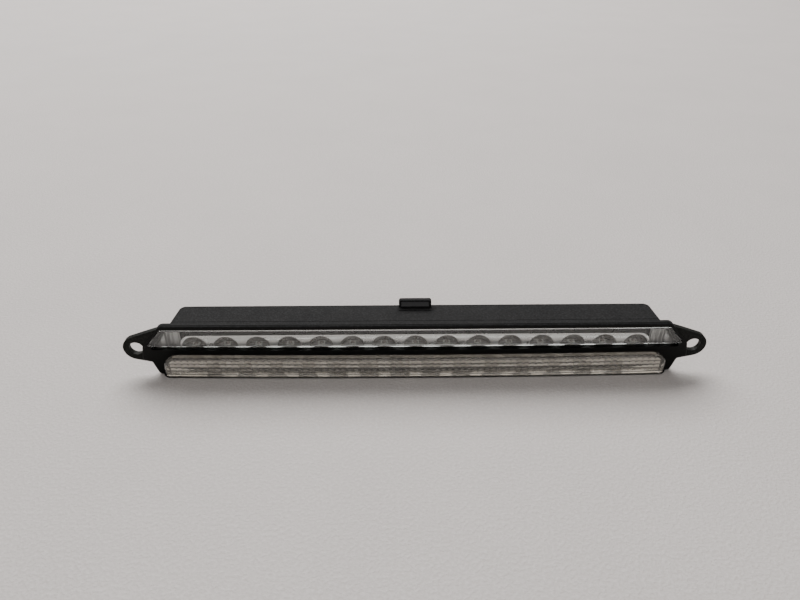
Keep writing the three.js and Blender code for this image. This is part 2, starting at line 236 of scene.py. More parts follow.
def prism_z(corners, z0, z1, step=15.0):
    ring = rounded(corners, step)
    return prism([(p.x, p.y, z0) for p in ring], [(p.x, p.y, z1) for p in ring])


def block(x0, x1, y0, y1, z0, z1):
    base = [(x0, y0), (x1, y0), (x1, y1), (x0, y1)]
    return prism([(x, y, z0) for x, y in base], [(x, y, z1) for x, y in base])


def circle(radius, sides):
    """Points round a circle, anticlockwise from its right-hand side."""
    angles = [math.tau * i / sides for i in range(sides)]
    return [(radius * math.cos(angle), radius * math.sin(angle)) for angle in angles]


def bar_y(radius, x, y0, y1, z, sides=48):
    ring = circle(radius, sides)
    return prism([(x + a, y0, z + b) for a, b in ring], [(x + a, y1, z + b) for a, b in ring])


def bar_z(radius, x, y, z0, z1, sides=32):
    ring = circle(radius, sides)
    return prism([(x + a, y + b, z0) for a, b in ring], [(x + a, y + b, z1) for a, b in ring])


def settle(piece):
    """Applies a piece's modifiers to its own mesh."""
    graph = bpy.context.evaluated_depsgraph_get()
    settled = bpy.data.meshes.new_from_object(piece.evaluated_get(graph))
    old = piece.data
    piece.modifiers.clear()
    piece.data = settled
    bpy.data.meshes.remove(old)
    return piece


def combine(piece, tool, operation):
    """Joins a tool to a piece, cuts it away or keeps what they share, and uses the tool up."""
    change = piece.modifiers.new("combine", "BOOLEAN")
    change.operation = operation
    change.solver = "EXACT"
    change.object = tool
    settle(piece)
    bpy.data.objects.remove(tool)
    return piece


def join(piece, *tools):
    for tool in tools:
        combine(piece, tool, "UNION")
    return piece


def cut(piece, *tools):
    for tool in tools:
        combine(piece, tool, "DIFFERENCE")
    return piece


def soften(piece, width, segments=3, angle=35.0):
    """Rounds every edge sharper than the angle."""
    bevel = piece.modifiers.new("soften", "BEVEL")
    bevel.width = width
    bevel.segments = segments
    bevel.limit_method = "ANGLE"
    bevel.angle_limit = math.radians(angle)
    bevel.use_clamp_overlap = True
    return settle(piece)


def soften_rim(piece, outline, y, width, segments=5):
    """Rounds only the edges that lie on this outline, in the plane at y."""
    ring = [Vector((p.x, y, p.y)) for p in rounded(outline, 10.0)]
    sides = list(zip(ring, ring[1:] + ring[:1]))

    def off_side(vertex, start, end):
        return (intersect_point_line(vertex.co, start, end)[0] - vertex.co).length

    bm = bmesh.new()
    bm.from_mesh(piece.data)
    level = [v for v in bm.verts if abs(v.co.y - y) < 1e-3]
    rim = {v for v in level if any(off_side(v, *side) < 1e-3 for side in sides)}
    edges = [e for e in bm.edges if rim.issuperset(e.verts) and e.calc_face_angle(0) > 0.6]
    bmesh.ops.bevel(bm, geom=edges, offset=width, segments=segments, profile=0.5, affect="EDGES")
    bm.to_mesh(piece.data)
    bm.free()
    return piece


def slice_along(piece, step=8.0, reach=152.0):
    """Cuts the faces every `step` along x, and at the heights where the crown changes, so they can bend."""
    bm = bmesh.new()
    bm.from_mesh(piece.data)
    count = int(reach / step)
    cuts = [((k * step, 0, 0), (1, 0, 0)) for k in range(-count, count + 1)]
    cuts += [((0, 0, LOWER_TOP + 0.01), (0, 0, 1)), ((0, 0, UPPER_TOP + 0.01), (0, 0, 1))]
    for place_on, facing in cuts:
        geometry = bm.verts[:] + bm.edges[:] + bm.faces[:]
        bmesh.ops.bisect_plane(bm, geom=geometry, plane_co=place_on, plane_no=facing)
    bm.to_mesh(piece.data)
    bm.free()
    return piece


def crown(x, z):
    """How far the front falls back at this place: more towards the ends, and more low down."""
    share = min(1, max(0, (z - LOWER_TOP) / (UPPER_TOP - LOWER_TOP)))
    return (SAG_LOW + (SAG_HIGH - SAG_LOW) * share) * (x / SAG_SPAN) ** 2


def bend(piece, full=3.5, none=WING_BACK + GAP):
    """Gives a piece the crown: all of it in front of `full`, and none behind `none`. Ears stay flat."""
    for vertex in piece.data.vertices:
        co = vertex.co
        weight = min(1, max(0, (none - co.y) / (none - full)))
        share = min(1, max(0, (abs(co.x) - EAR_ROOT) / (EAR_FLAT - EAR_ROOT)))
        co.y += weight * (crown(co.x, co.z) * (1 - share) + EAR_SAG * share)
    return piece


def place(piece, material, slot, *replaced, smooth=32.0):
    """Puts a piece in its place in the frame, with its finish, for the CAD nodes that it stands for."""
    piece.data.transform(PLACE)
    finish_faces(piece, smooth)
    if not piece.data.materials:
        piece.data.materials.append(material)
    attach(piece, "root")
    if replaced:
        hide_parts(*replaced)
    return piece


def finish_faces(piece, smooth):
    for face in piece.data.polygons:
        face.use_smooth = True
    piece.data.set_sharp_from_angle(angle=math.radians(smooth))
    weigh = piece.modifiers.new("weigh", "WEIGHTED_NORMAL")
    weigh.keep_sharp = True


def name_piece(piece, name):
    piece.name = name
    piece.data.name = name
    return piece


# ---------- shared effects ----------

def link(tree, start, end):
    tree.links.new(start, end)


def effect(name, inputs, outputs):
    """An empty node group with named value or colour sockets."""
    tree = bpy.data.node_groups.new(name, "ShaderNodeTree")
    for label, kind, default in inputs:
        socket = tree.interface.new_socket(name=label, in_out="INPUT", socket_type=kind)
        socket.default_value = default
    for label, kind in outputs:
        tree.interface.new_socket(name=label, in_out="OUTPUT", socket_type=kind)
    return tree, tree.nodes.new("NodeGroupInput"), tree.nodes.new("NodeGroupOutput")


def noise(tree, detail, rough=0.55):
    node = tree.nodes.new("ShaderNodeTexNoise")
    node.inputs["Detail"].default_value = detail
    node.inputs["Roughness"].default_value = rough
    return node


def maths(tree, operation, a, b):
    node = tree.nodes.new("ShaderNodeMath")
    node.operation = operation
    for socket, value in zip(node.inputs, (a, b)):
        if isinstance(value, (int, float)):
            socket.default_value = value
        else:
            link(tree, value, socket)
    return node.outputs[0]


def remap(tree, value, low, high, to_low=0.0, to_high=1.0):
    node = tree.nodes.new("ShaderNodeMapRange")
    for label, number in (("From Min", low), ("From Max", high), ("To Min", to_low), ("To Max", to_high)):
        node.inputs[label].default_value = number
    link(tree, value, node.inputs["Value"])
    return node.outputs["Result"]


def moulded_grain():
    """A fine pebbled skin and a slow mottle, as moulded plastic has."""
    tree, group_in, group_out = effect(
        "moulded_grain",
        [("Grain Scale", "NodeSocketFloat", 2400.0), ("Mottle Scale", "NodeSocketFloat", 90.0)],
        [("Height", "NodeSocketFloat"), ("Mottle", "NodeSocketFloat"), ("Fleck", "NodeSocketFloat")],
    )
    spot = tree.nodes.new("ShaderNodeTexCoord").outputs["Object"]
    grain, mottle = noise(tree, 3.0), noise(tree, 5.0, 0.6)
    for node, label in ((grain, "Grain Scale"), (mottle, "Mottle Scale")):
        link(tree, spot, node.inputs["Vector"])
        link(tree, group_in.outputs[label], node.inputs["Scale"])
    link(tree, grain.outputs["Fac"], group_out.inputs["Height"])
    link(tree, remap(tree, mottle.outputs["Fac"], 0.3, 0.7), group_out.inputs["Mottle"])
    link(tree, remap(tree, grain.outputs["Fac"], 0.46, 0.68), group_out.inputs["Fleck"])
    return tree


def settled_dust():
    """Where dust lies: on faces that look up, in uneven patches."""
    tree, group_in, group_out = effect(
        "settled_dust",
        [("Patch Scale", "NodeSocketFloat", 160.0), ("Amount", "NodeSocketFloat", 0.5)],
        [("Mask", "NodeSocketFloat")],
    )
    split = tree.nodes.new("ShaderNodeSeparateXYZ")
    link(tree, tree.nodes.new("ShaderNodeNewGeometry").outputs["Normal"], split.inputs[0])
    patches = noise(tree, 8.0, 0.7)
    link(tree, tree.nodes.new("ShaderNodeTexCoord").outputs["Object"], patches.inputs["Vector"])
    link(tree, group_in.outputs["Patch Scale"], patches.inputs["Scale"])
    up = remap(tree, split.outputs["Z"], 0.35, 0.95)
    patchy = remap(tree, patches.outputs["Fac"], 0.35, 0.75, 0.25, 1.0)
    mask = maths(tree, "MULTIPLY", maths(tree, "MULTIPLY", up, patchy), group_in.outputs["Amount"])
    link(tree, mask, group_out.inputs["Mask"])
    return tree


def rubbed_edges():
    """Raised edges, broken up, where handling has polished the skin."""
    tree, group_in, group_out = effect(
        "rubbed_edges",
        [("Break Scale", "NodeSocketFloat", 500.0), ("Amount", "NodeSocketFloat", 0.5)],
        [("Mask", "NodeSocketFloat")],
    )
    raised = remap(tree, tree.nodes.new("ShaderNodeNewGeometry").outputs["Pointiness"], 0.51, 0.58)
    breaks = noise(tree, 4.0)
    link(tree, tree.nodes.new("ShaderNodeTexCoord").outputs["Object"], breaks.inputs["Vector"])
    link(tree, group_in.outputs["Break Scale"], breaks.inputs["Scale"])
    broken = maths(tree, "MULTIPLY", raised, remap(tree, breaks.outputs["Fac"], 0.35, 0.65))
    link(tree, maths(tree, "MULTIPLY", broken, group_in.outputs["Amount"]), group_out.inputs["Mask"])
    return tree


DUST_GREY = (0.2, 0.19, 0.18)
GRAIN = moulded_grain()
DUST = settled_dust()
RUB = rubbed_edges()


# ---------- finishes ----------

def start_material(name):
    material = bpy.data.materials.new(name)
    material.use_nodes = True
    tree = material.node_tree
    return material, tree, tree.nodes["Principled BSDF"]


def use(tree, group, **values):
    node = tree.nodes.new("ShaderNodeGroup")
    node.node_tree = group
    for label, value in values.items():
        node.inputs[label.replace("_", " ")].default_value = value
    return node


def blend_colours(tree, mask, low, high):
    """A colour that goes from low to high with the mask. Each may be a colour or another blend's output."""
    node = tree.nodes.new("ShaderNodeMix")
    node.data_type = "RGBA"
    link(tree, mask, node.inputs["Factor"])
    for socket, colour in ((node.inputs["A"], low), (node.inputs["B"], high)):
        if isinstance(colour, tuple):
            socket.default_value = (*colour, 1)
        else:
            link(tree, colour, socket)
    return node.outputs["Result"]


def bump(tree, height, shader, strength, depth):
    node = tree.nodes.new("ShaderNodeBump")
    node.inputs["Strength"].default_value = strength
    node.inputs["Distance"].default_value = depth
    link(tree, height, node.inputs["Height"])
    link(tree, node.outputs["Normal"], shader.inputs["Normal"])


def moulded_plastic(name, dark, light, rough, grain_scale, grain_depth,
                    dust=0.0, rub=0.0, shine=0.5, fleck=0.0):
    """Mottled plastic with a grain, pale flecks in it, rubbed edges and dust on what faces up."""
    material, tree, shader = start_material(name)
    grain = use(tree, GRAIN, Grain_Scale=grain_scale, Mottle_Scale=70.0)
    lie = use(tree, DUST, Patch_Scale=240.0, Amount=dust)
    worn = use(tree, RUB, Break_Scale=450.0, Amount=rub)
    colour = blend_colours(tree, grain.outputs["Mottle"], dark, light)
    flecked = maths(tree, "MULTIPLY", grain.outputs["Fleck"], fleck)
    colour = blend_colours(tree, flecked, colour, tuple(c * 6 for c in light))
    rubbed = tuple(c * 1.7 for c in light)
    colour = blend_colours(tree, worn.outputs["Mask"], colour, rubbed)
    colour = blend_colours(tree, lie.outputs["Mask"], colour, DUST_GREY)
    link(tree, colour, shader.inputs["Base Color"])
    roughness = remap(tree, grain.outputs["Mottle"], 0, 1, rough - 0.06, rough + 0.06)
    link(tree, roughness, shader.inputs["Roughness"])
    shader.inputs["Specular IOR Level"].default_value = shine
    bump(tree, grain.outputs["Height"], shader, 0.6, grain_depth)
    return material


def clear_plastic(name, tint, rough, clear=1.0):
    """A clear moulding. Where `clear` is under 1, the rest is a milky haze."""
    material, tree, shader = start_material(name)
    grain = use(tree, GRAIN, Grain_Scale=260.0, Mottle_Scale=45.0)
    pale = tuple(min(1, c * 1.02) for c in tint)
    link(tree, blend_colours(tree, grain.outputs["Mottle"], tint, pale), shader.inputs["Base Color"])
    link(tree, remap(tree, grain.outputs["Mottle"], 0, 1, rough, rough + 0.03), shader.inputs["Roughness"])
    shader.inputs["Transmission Weight"].default_value = clear
    shader.inputs["IOR"].default_value = 1.49
    bump(tree, grain.outputs["Height"], shader, 0.15, 0.00001)
    let_light_in(tree, shader, tint)
    return material


def let_light_in(tree, shader, tint):
    """Lets the lamps light what lies behind a lens."""
    through = tree.nodes.new("ShaderNodeBsdfTransparent")
    through.inputs["Color"].default_value = (*tint, 1)
    mix = tree.nodes.new("ShaderNodeMixShader")
    link(tree, tree.nodes.new("ShaderNodeLightPath").outputs["Is Shadow Ray"], mix.inputs["Fac"])
    link(tree, shader.outputs["BSDF"], mix.inputs[1])
    link(tree, through.outputs["BSDF"], mix.inputs[2])
    link(tree, mix.outputs["Shader"], tree.nodes["Material Output"].inputs["Surface"])


def metallised(name, tone, smooth, rough, relief):
    """A thin bright coat on moulded plastic."""
    material, tree, shader = start_material(name)
    grain = use(tree, GRAIN, Grain_Scale=900.0, Mottle_Scale=120.0)
    low = tuple(c * tone for c in (0.80, 0.79, 0.78))
    high = tuple(c * tone for c in (0.90, 0.89, 0.88))
    colour = blend_colours(tree, grain.outputs["Mottle"], low, high)
    link(tree, colour, shader.inputs["Base Color"])
    link(tree, remap(tree, grain.outputs["Mottle"], 0, 1, smooth, rough), shader.inputs["Roughness"])
    shader.inputs["Metallic"].default_value = 1.0
    bump(tree, grain.outputs["Height"], shader, 0.25, relief)
    return material


def plated(name, colour):
    material, tree, shader = start_material(name)
    grain = use(tree, GRAIN, Grain_Scale=3000.0, Mottle_Scale=400.0)
    bright = tuple(min(1, c * 1.25) for c in colour)
    link(tree, blend_colours(tree, grain.outputs["Mottle"], colour, bright), shader.inputs["Base Color"])
    link(tree, remap(tree, grain.outputs["Mottle"], 0, 1, 0.28, 0.45), shader.inputs["Roughness"])
    shader.inputs["Metallic"].default_value = 1.0
    bump(tree, grain.outputs["Height"], shader, 0.3, 0.00003)
    return material


def solder_mask(name):
    """A grey board with copper runs showing through as darker bands."""
    material, tree, shader = start_material(name)
    grain = use(tree, GRAIN, Grain_Scale=2600.0, Mottle_Scale=60.0)
    bricks = tree.nodes.new("ShaderNodeTexBrick")
    link(tree, tree.nodes.new("ShaderNodeTexCoord").outputs["Object"], bricks.inputs["Vector"])
    for label, value in (("Scale", 60.0), ("Mortar Size", 0.03), ("Brick Width", 0.9), ("Row Height", 0.12)):
        bricks.inputs[label].default_value = value
    base = blend_colours(tree, grain.outputs["Mottle"], (0.20, 0.185, 0.18), (0.26, 0.24, 0.235))
    runs = blend_colours(tree, bricks.outputs["Fac"], base, (0.12, 0.10, 0.09))
    link(tree, runs, shader.inputs["Base Color"])
    link(tree, remap(tree, grain.outputs["Mottle"], 0, 1, 0.3, 0.45), shader.inputs["Roughness"])
    bump(tree, bricks.outputs["Fac"], shader, 0.3, 0.00003)
    return material


housing_plastic = moulded_plastic(
    "housing_plastic", (0.003, 0.003, 0.0032), (0.008, 0.008, 0.0085), 0.7, 1300.0, 0.0004,
    dust=0.02, rub=0.2, shine=0.12, fleck=0.35)
bezel_plastic = moulded_plastic(
    "bezel_plastic", (0.0012, 0.0014, 0.0012), (0.002, 0.0022, 0.002), 0.4, 2000.0, 0.00006,
    dust=0.01, rub=0.2, shine=0.12)
ear_plastic = moulded_plastic(
    "ear_plastic", (0.0018, 0.0022, 0.0018), (0.004, 0.0045, 0.0038), 0.45, 900.0, 0.0004,
    dust=0.01, rub=0.2, shine=0.1, fleck=0.5)
# a lighter copy of the housing's black for the tongue's front faces: painted light, as the lamps leave those
# faces in shade
tab_plastic_painted_light = moulded_plastic(
    "tab_plastic_painted_light", (0.04, 0.04, 0.042), (0.07, 0.07, 0.072), 0.6, 1100.0, 0.0002, shine=0.2)
seal_rubber = moulded_plastic(
    "seal_rubber", (0.008, 0.008, 0.008), (0.013, 0.013, 0.013), 0.8, 1800.0, 0.0001, shine=0.2)
part_plastic = moulded_plastic(
    "part_plastic", (0.01, 0.01, 0.011), (0.018, 0.018, 0.02), 0.5, 3000.0, 0.00005)
led_white = moulded_plastic(
    "led_white", (0.40, 0.39, 0.37), (0.50, 0.49, 0.46), 0.4, 3000.0, 0.00003)
led_resin = moulded_plastic(
    "led_resin", (0.16, 0.14, 0.13), (0.24, 0.20, 0.18), 0.25, 4000.0, 0.00003)
upper_clear = clear_plastic("upper_clear", (0.93, 0.95, 0.94), 0.015)
lower_clear = clear_plastic("lower_clear", (0.92, 0.89, 0.84), 0.03, clear=0.957)
# a dark grey copy of the lower lens for its top faces: painted shade
lower_clear_painted_shade = clear_plastic("lower_clear_painted_shade", (0.36, 0.35, 0.33), 0.04, clear=0.98)
reflector_metal = metallised("reflector_metal", 1.0, 0.22, 0.34, 0.00004)
wing_metal = metallised("wing_metal", 0.45, 0.3, 0.4, 0.00004)
diffuse_metal = metallised("diffuse_metal", 1.05, 0.35, 0.5, 0.00012)
terminal_metal = plated("terminal_metal", (0.55, 0.54, 0.5))
board_mask = solder_mask("board_mask")


# ---------- housing ----------

def housing_plan(inset):
    slope = (HOUSING_HALF_FRONT - HOUSING_HALF_BACK) / HOUSING_BACK
    back = HOUSING_BACK - inset
    half = HOUSING_HALF_FRONT - inset
    return mirrored([(half, 0, 0), (half - slope * back, back, 3.0 - inset)])


def housing_shell():
    shell = prism_z(housing_plan(0), 0, HOUSING_TOP, step=9.0)
    # the tongue on the rear edge, its recessed face, and the pad in front of it
    tongue_front = HOUSING_BACK - TAB_THICK
    tongue = mirrored([(TAB_HALF, HOUSING_TOP - 1, 0), (TAB_HALF, TAB_TOP, TAB_ROUND)])
    pad_front, pad_top = HOUSING_BACK - PAD_DEPTH, HOUSING_TOP + PAD_RISE
    join(
        shell,
        prism_y(tongue, tongue_front, HOUSING_BACK),
        block(-TAB_HALF, TAB_HALF, pad_front, HOUSING_BACK, HOUSING_TOP - 1, pad_top),
    )
    seam = (HOUSING_FRONT + SEAM_FRONT, HOUSING_FRONT + SEAM_BACK)
    cut(
        shell,
        prism_z(housing_plan(WALL), WALL, HOUSING_TOP - WALL),
        leaning_recess(tongue_front),
        block(-PAST, PAST, -5, HOUSING_FRONT, -5, 50),
        block(-WING_ROOM_HALF, WING_ROOM_HALF, 0, WING_BACK + GAP, WING_ROOM_BOTTOM, WING_ROOM_TOP),
        block(-PAST, PAST, *seam, HOUSING_TOP - SEAM_DEEP, HOUSING_TOP + 1),
        socket_hole(),
    )
    for side in (-1, 1):
        level, upright = side * LEVEL_POST_X, side * UPRIGHT_POST_X
        join(shell, bar_z(POST_RADIUS, level, LEVEL_POST_Y, WALL - 0.5, LEVEL_POST_TOP))
        cut(shell, bar_z(POST_BORE, level, LEVEL_POST_Y, 7, 15))
        join(shell, bar_y(POST_RADIUS, upright, UPRIGHT_POST_FRONT, HOUSING_BACK - 1, UPRIGHT_POST_Z))
        cut(shell, bar_y(POST_BORE, upright, 12, 17.5, UPRIGHT_POST_Z))
    soften(shell, 0.28, 3)
    shell.data.materials.append(housing_plastic)
    shell.data.materials.append(tab_plastic_painted_light)
    # the tongue's front faces take the lighter copy: painted light on faces that look away from the lamps
    for face in shell.data.polygons:
        facing = face.normal.y < -0.6 and face.center.z > HOUSING_TOP + 0.4
        within = abs(face.center.x) < TAB_HALF - 1 and face.center.y > tongue_front
        face.material_index = 1 if facing and within else 0
    slice_along(shell, 12.0)
    bend(shell, HOUSING_FRONT, HOUSING_STRAIGHT)
    return place(name_piece(shell, "housing_shell"), housing_plastic, "housing", "rear_housing")


def leaning_recess(front):
    """A block whose back face leans away towards the top."""
    half, low, high = TAB_HALF - RECESS_SIDE, HOUSING_TOP + RECESS_FOOT, TAB_TOP - RECESS_HEAD
    side = [(front - 1, low), (front + RECESS_SHALLOW, low), (front + RECESS_DEEP, high), (front - 1, high)]
    return prism([(-half, y, z) for y, z in side], [(half, y, z) for y, z in side])


def socket_hole():
    """The opening in the rear wall round the CAD socket, wherever that stands."""
    low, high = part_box("connector_socket")
    middle = (low + high) / 2 / MM
    across, up = SOCKET_HALF_WIDE + GAP, SOCKET_HALF_TALL + GAP
    return block(middle.x - across, middle.x + across, 15, 22, middle.z - up, middle.z + up)


# ---------- bezel ----------

def bezel_frame():
    body = prism_y(BODY, 0, BEZEL_DEPTH, step=10.0)
    body.data.materials.append(bezel_plastic)
    body.data.materials.append(ear_plastic)
    lip = prism_y(mirrored([(CHIN_HALF, 0, 0), (CHIN_HALF, CHIN_TOP, 0)]), CHIN_FRONT, 1)
    combine(lip, prism_z(plan(CHIN_HALF, CHIN_FRONT, END_RADIUS), -1, 3, step=8.0), "INTERSECT")
    join(body, lip, ear_plate(EAR), ear_plate(flipped(EAR)), *end_pockets())
    cut(
        body,
        prism_y(grow(UPPER_LENS, GAP), -5, LEDGE_FRONT),
        prism_y(grow(LOWER_LENS, GAP - PLUG_INSET), -5, LEDGE_FRONT, step=8.0),
        prism_y(UPPER_WINDOW, -6, BEZEL_DEPTH + 0.1),
        prism_y(LOWER_WINDOW, -6, BEZEL_DEPTH + 2, step=8.0),
        block(-PAST, PAST, RIM_GROOVE_FRONT, RIM_GROOVE_BACK, BODY_HEIGHT - RIM_GROOVE_DEEP, 40),
    )
    soften_rim(body, BODY, 0, RIM_ROUND)
    soften(body, 0.2, 2)
    # the rim's top faces take the housing's lighter plastic: painted light on the faces that look up
    body.data.materials.append(housing_plastic)
    for face in body.data.polygons:
        if face.center.z > BODY_HEIGHT - 1.5 and face.normal.z > 0.3:
            face.material_index = 2
    slice_along(body, 12.0)
    bend(body)
    return place(name_piece(body, "bezel_frame"), bezel_plastic, "bezel", "front_bezel")


def ear_plate(outline):
    """A plate with a round screw hole, and with a coarser grain than the front."""
    plate = prism_y(outline, EAR_FRONT - EAR_SAG, EAR_BACK - EAR_SAG, step=7.0)
    side = math.copysign(1, outline[0][0])
    cut(plate, bar_y(EAR_HOLE, side * EAR_X, -5, 10, EAR_Z))
    plate.data.materials.append(bezel_plastic)
    plate.data.materials.append(ear_plastic)
    for face in plate.data.polygons:
        face.material_index = 1
    return plate


def end_pockets():
    """The shallow boxes that close the upper window's ends beside the housing."""
    pockets = []
    for side in (-1, 1):
        inner, outer = sorted((side * POCKET_INNER, side * 150))
        shell = prism_y(grow(UPPER_WINDOW, POCKET_WALL), BEZEL_DEPTH - 0.3, POCKET_BACK)
        combine(shell, block(inner, outer, 0, 20, 0, 40), "INTERSECT")
        cut(shell, prism_y(UPPER_WINDOW, 0, POCKET_FLOOR))
        pockets.append(shell)
    return pockets


# ---------- lenses ----------

def upper_lens_plate():
    plate = prism_y(UPPER_LENS, UPPER_FRONT, UPPER_BACK, step=12.0)
    soften(plate, 0.3, 3)
    slice_along(plate, 12.0)
    bend(plate)
    return place(name_piece(plate, "upper_lens_plate"), upper_clear, "upper_lens", "upper_lens")


def pillow_tool():
    """A block whose front is a field of shallow hollows, which leaves rows of pillows inside the lens."""
    low, high = LOWER_BOTTOM + PLUG_INSET + SKIRT, LOWER_TOP - PLUG_INSET - SKIRT
    tall = (high - low) / PILLOW_ROWS
    columns = math.ceil(LOWER_HALF / PILLOW_WIDE)
    across = 2 * columns * PILLOW_CELLS
    up = PILLOW_ROWS * PILLOW_CELLS
    bm = bmesh.new()
    front, back = [], []
    for j in range(up + 1):
        row, far = [], []
        for i in range(across + 1):
            u = 2 * (i % PILLOW_CELLS) / PILLOW_CELLS - 1
            v = 2 * (j % PILLOW_CELLS) / PILLOW_CELLS - 1
            x = (i / PILLOW_CELLS - columns) * PILLOW_WIDE
            z = low + j / PILLOW_CELLS * tall
            rise = PILLOW_RISE * (1 - (u * u + v * v) / 2)
            row.append(bm.verts.new((x, LOWER_FRONT + LOWER_WALL + rise, z)))
            far.append(bm.verts.new((x, 6, z)) if i in (0, across) or j in (0, up) else None)
        front.append(row)
        back.append(far)
    for j in range(up):
        for i in range(across):
            bm.faces.new((front[j][i], front[j][i + 1], front[j + 1][i + 1], front[j + 1][i]))
    rim = [(0, i) for i in range(across)] + [(j, across) for j in range(up)]
    rim += [(up, i) for i in range(across, 0, -1)] + [(j, 0) for j in range(up, 0, -1)]
    for k, (j, i) in enumerate(rim):
        n, m = rim[(k + 1) % len(rim)]
        bm.faces.new((front[j][i], front[n][m], back[n][m], back[j][i]))
    bm.faces.new([back[j][i] for j, i in rim])
    return new_object("pillows", bm)


def lower_lens_cup():
    """A cup with round ends and a skirt that plugs into the bezel, pillowed on its inner face."""
    cup = prism_y(LOWER_LENS, LOWER_FRONT, -GAP, step=8.0)
    combine(cup, prism_z(plan(LOWER_HALF, LOWER_FRONT, END_RADIUS), -1, 20, step=8.0), "INTERSECT")
    soften(cup, 0.6, 3)
    join(cup, prism_y(grow(LOWER_LENS, -PLUG_INSET), -GAP - 0.2, UPPER_BACK, step=8.0))
    inset, thin = PLUG_INSET + SKIRT, LOWER_WALL / 2
    hollow = prism_y(grow(LOWER_LENS, -inset), LOWER_FRONT + thin, 4, step=8.0)
    inner_plan = plan(LOWER_HALF - inset, LOWER_FRONT + thin, END_RADIUS - thin)
    combine(hollow, prism_z(inner_plan, -1, 20, step=8.0), "INTERSECT")
    combine(hollow, pillow_tool(), "INTERSECT")
    cut(cup, hollow)
    cup.data.materials.append(lower_clear)
    cup.data.materials.append(lower_clear_painted_shade)
    # the lens's top faces take the dark grey copy: painted shade on the top of the lens
    for face in cup.data.polygons:
        on_top = face.normal.z > 0.6 and face.center.z > BOWL_Z + 2
        face.material_index = 1 if on_top else 0
    slice_along(cup, PITCH)
    bend(cup)
    return place(name_piece(cup, "lower_lens_cup"), lower_clear, "lower_lens", "lower_lens", smooth=18.0)


# ---------- reflector ----------

def arch(radius, y, count=28):
    """Points of a half ring over the cup's base, from its right end to its left end."""
    angles = [math.pi * k / count for k in range(count + 1)]
    return [Vector((radius * math.cos(a), y, radius * math.sin(a))) for a in angles]


def cup_rings():
    """Half rings from the web's face back to the cup's pole, with a rolled edge at the mouth."""
    rings = []
    for k in range(5):
        turn = math.pi / 2 * k / 4
        rings.append(arch(CUP_RADIUS + CUP_ROLL * (1 - math.sin(turn)), CUP_ROLL * (1 - math.cos(turn))))
    for k in range(1, 12):
        turn = math.pi / 2 * k / 12
        depth = CUP_ROLL + (CUP_RADIUS - CUP_ROLL) * math.sin(turn)
        rings.append(arch(CUP_RADIUS * math.cos(turn), depth))
    return rings


def reflector_skin():
    """The web and the cups as one open skin."""
    bm = bmesh.new()
    rings = cup_rings()
    top = WEB_TOP - CUP_BASE
    for i in range(CUPS):
        middle = (i - (CUPS - 1) / 2) * PITCH
        origin = Vector((middle, WEB_FRONT, CUP_BASE))
        loops = [[bm.verts.new(origin + p) for p in ring] for ring in rings]
        for outer, inner in zip(loops, loops[1:]):
            for k in range(len(outer) - 1):
                bm.faces.new((outer[k], outer[k + 1], inner[k + 1], inner[k]))
        pole = bm.verts.new(origin + Vector((0, CUP_RADIUS, 0)))
        last = loops[-1]
        for k in range(len(last) - 1):
            bm.faces.new((last[k], last[k + 1], pole))
        left = -PITCH / 2 if i else -(WEB_HALF + middle)
        right = PITCH / 2 if i < CUPS - 1 else WEB_HALF - middle
        outline = [(left, 0, 0), (right, 0, 0)]
        outline.append((right, top, WEB_END_ROUND if i == CUPS - 1 else 0))
        outline.append((left, top, WEB_END_ROUND if i == 0 else 0))
        around = [bm.verts.new(origin + Vector((p.x, 0, p.y))) for p in rounded(outline, 12.0)]
        # around runs from the left foot to the right foot and back over the top
        bm.faces.new([loops[0][-1], *reversed(loops[0][:-1]), *around[1:], around[0]])
    bmesh.ops.remove_doubles(bm, verts=bm.verts, dist=1e-3)
    skin = new_object("skin", bm)
    for face in skin.data.polygons:
        if face.normal.y > 0.9 and abs(face.center.y - WEB_FRONT) < 1e-3:
            face.flip()
    return skin


def thicken(skin, thickness):
    """Makes a skin solid behind the side that it faces."""
    shell = skin.modifiers.new("shell", "SOLIDIFY")
    shell.thickness = thickness
    shell.offset = -1
    return settle(skin)


def off_the_foot(vertex):
    return vertex.co.z > CUP_BASE + 0.5 or abs(vertex.co.x) > WEB_HALF - 0.01


def upper_reflector_cups():
    """The skin with its top and ends carried back and thickened, and the rail and the wings."""
    skin = reflector_skin()
    bm = bmesh.new()
    bm.from_mesh(skin.data)
    edges = [e for e in bm.edges if e.is_boundary and all(off_the_foot(v) for v in e.verts)]
    swept = bmesh.ops.extrude_edge_only(bm, edges=edges)["geom"]
    for vertex in (g for g in swept if isinstance(g, bmesh.types.BMVert)):
        vertex.co.y = REFLECTOR_BACK
    bmesh.ops.recalc_face_normals(bm, faces=bm.faces)
    bm.to_mesh(skin.data)
    bm.free()
    thicken(skin, SKIN_THICK)
    rail = soften(block(-WEB_HALF, WEB_HALF, WEB_FRONT - 0.3, RAIL_BACK, RAIL_BOTTOM, RAIL_TOP), 0.3, 3)
    cups = gather([skin, rail, wing(-1), wing(1)])
    cups.data.materials.append(reflector_metal)
    cups.data.materials.append(wing_metal)
    cups.data.materials.append(diffuse_metal)
    for face in cups.data.polygons:
        on_wing = abs(face.center.x) > WEB_HALF + 0.1
        on_rail = face.center.y < WEB_FRONT - 0.05
        face.material_index = 1 if on_wing else 2 if on_rail else 0
    return place(name_piece(cups, "upper_reflector_cups"), reflector_metal, "mirror", "upper_reflector")


def gather(pieces):
    """Makes one object of several separate bodies."""
    bm = bmesh.new()
    for piece in pieces:
        bm.from_mesh(piece.data)
        bpy.data.objects.remove(piece)
    return new_object("gathered", bm)


WING_START, WING_BOTTOM, WING_TOP, WING_FACE = 118.6, 16.1, 26.0, 5.4
WING_END, WING_SLANT = 133.4, 0.7
RIDGE_X, RIDGE_WIDTH, RIDGE_RISE = 125.0, 0.7, 0.9
FLUTE_PITCH, FLUTE_SHARE = 3.4, 0.3
RIM_WIDTH, RIM_RISE = 1.9, 1.6


